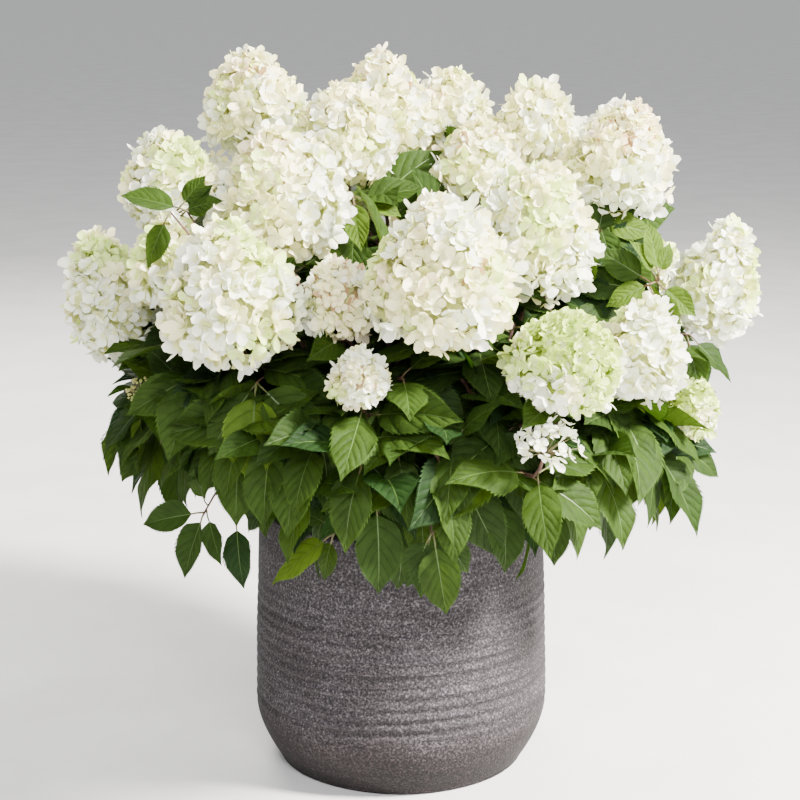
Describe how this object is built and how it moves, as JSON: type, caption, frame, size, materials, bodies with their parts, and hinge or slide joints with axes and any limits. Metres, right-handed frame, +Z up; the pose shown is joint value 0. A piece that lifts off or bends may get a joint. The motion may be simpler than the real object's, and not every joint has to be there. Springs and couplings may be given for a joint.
{
  "type": "potted hydrangea shrub",
  "caption": "Panicle hydrangea shrub in cream-white flower, full from all sides, growing in a round ribbed stone planter that stands on its flat foot.",
  "frame": {"origin": "middle of the planter's flat underside", "axes": "+Z up, -Y towards the viewer of the picture, +X to their right"},
  "size_m": [0.7916, 0.733, 0.8352],
  "materials": {
    "planter": "rough speckled grey-brown cast stone, unglazed",
    "soil": "loose dark potting mix",
    "bark": "thin fissured bark",
    "foliage": "green leaves under cream-white flower heads"
  },
  "bodies": {
    "root": {"planter": "planter", "soil": "soil", "stock": "bark", "bough_front": "bark", "bough_front_left": "bark", "bough_left": "bark", "bough_back_left": "bark", "bough_back": "bark", "bough_back_right": "bark", "bough_right": "bark", "bough_right_front": "bark", "bough_front_right": "bark", "bough_centre": "bark", "foliage_front": "foliage", "foliage_front_inner": "foliage", "foliage_front_left": "foliage", "foliage_left": "foliage", "foliage_left_top": "foliage", "foliage_back_left": "foliage", "foliage_top_left": "foliage", "foliage_back": "foliage", "foliage_top_back": "foliage", "foliage_back_right": "foliage", "foliage_top_right_back": "foliage", "foliage_right": "foliage", "foliage_top_right": "foliage", "foliage_right_front": "foliage", "foliage_upper_right": "foliage", "foliage_front_right": "foliage", "foliage_top_centre": "foliage"}
  },
  "joints": []
}
